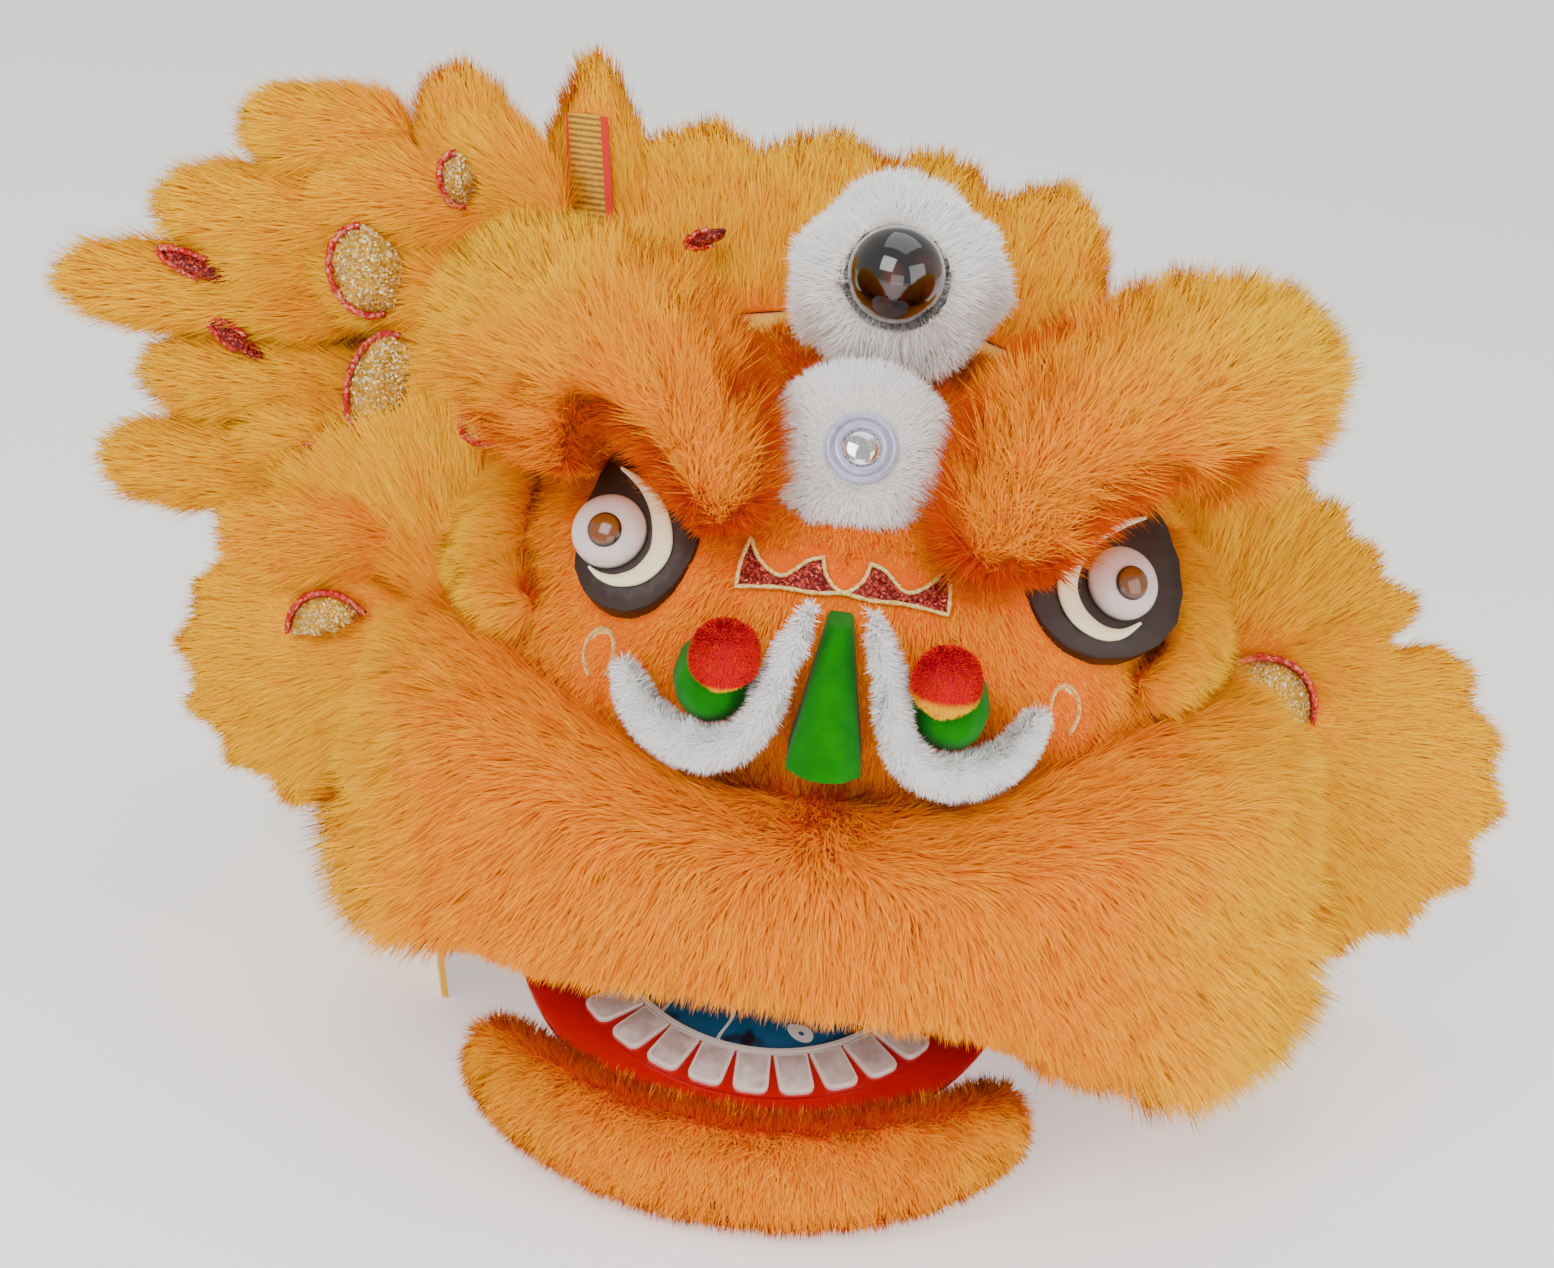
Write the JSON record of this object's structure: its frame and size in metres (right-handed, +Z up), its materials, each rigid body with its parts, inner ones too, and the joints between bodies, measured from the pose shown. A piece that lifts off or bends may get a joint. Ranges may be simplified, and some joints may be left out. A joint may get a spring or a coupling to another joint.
{
  "type": "lion dance head",
  "caption": "Worn lion dance head: hollow fur-covered shell with brows, lip, horn, mirror, ears and a mane bunched to one side, and a hinged lower jaw.",
  "frame": {"origin": "centre of the open underside, on the plane the rim stands on", "axes": "-Y forward out of the face, +X to the viewer's right, +Z up"},
  "size_m": [0.8153, 0.5542, 0.474],
  "materials": {
    "bamboo": "split bamboo",
    "black_gloss": "high gloss",
    "cream_paint": "painted band",
    "dark_eye": "gloss",
    "eyeball_white": "gloss",
    "gold_cord": "metallic cord",
    "gold_glitter": "sequin cloth",
    "green_felt": "felt",
    "jaw_red": "lacquered board",
    "maroon_glitter": "glitter applique",
    "mirror_glass": "polished",
    "mirror_rim": "satin",
    "mouth_blue": "painted",
    "orange_fur": "long fur",
    "pupil_brown": "gloss",
    "red_pompom": "yarn pompom",
    "red_trim": "sequin edge",
    "teeth_white": "gloss",
    "white_fur": "fluffy fur",
    "yellow_cloth": "woven cloth over papier form",
    "yellow_fur": "long fur"
  },
  "bodies": {
    "head": {"back_fur": "yellow_fur", "brow_left": "orange_fur", "brow_right": "orange_fur", "cheek_cord_left": "gold_cord", "cheek_cord_right": "gold_cord", "cheek_fur_left": "orange_fur", "cheek_fur_right": "orange_fur", "crest_fur": "yellow_fur", "ear_fur_left": "yellow_fur", "ear_fur_right": "yellow_fur", "ear_panel_left": "gold_glitter", "ear_panel_right": "gold_glitter", "ear_trim_left": "red_trim", "ear_trim_right": "red_trim", "eye_plate_left": "dark_eye", "eye_plate_right": "dark_eye", "eye_swirl_left": "cream_paint", "eye_swirl_right": "cream_paint", "eyeball_left": "eyeball_white", "eyeball_right": "eyeball_white", "horn_ball": "black_gloss", "horn_fur": "white_fur", "lip_fur": "orange_fur", "mane_panel_left": "gold_glitter", "mane_petal_left_1": "yellow_fur", "mane_petal_left_2": "yellow_fur", "mane_petal_left_3": "yellow_fur", "mane_petal_left_4": "yellow_fur", "mane_petal_left_5": "yellow_fur", "mane_petal_left_6": "yellow_fur", "mane_petal_right_1": "yellow_fur", "mane_petal_right_2": "yellow_fur", "mirror_fur": "white_fur", "mirror_glass": "mirror_glass", "mirror_rim": "mirror_rim", "nose_bridge": "green_felt", "nose_ornament": "maroon_glitter", "nose_pompom_left": "red_pompom", "nose_pompom_right": "red_pompom", "nose_trim_left": "white_fur", "nose_trim_right": "white_fur", "nostril_left": "green_felt", "nostril_right": "green_felt", "ornament_cord": "gold_cord", "petal_edge_1": "red_trim", "petal_edge_2": "red_trim", "pupil_left": "pupil_brown", "pupil_right": "pupil_brown", "shell": "yellow_cloth", "spine_strip": "gold_glitter", "temple_fur_left": "yellow_fur", "temple_fur_right": "yellow_fur"},
    "jaw": {"jaw_arm_left": "bamboo", "jaw_arm_right": "bamboo", "jaw_board": "jaw_red", "jaw_floor": "mouth_blue", "jaw_fur": "orange_fur", "jaw_teeth": "teeth_white"}
  },
  "joints": [
    {"name": "jaw_hinge", "type": "hinge", "parent": "head", "child": "jaw", "pos_m": [0, 0.05, 0.122], "axis": [-1, 0, 0], "range_deg": [0, 4]}
  ]
}
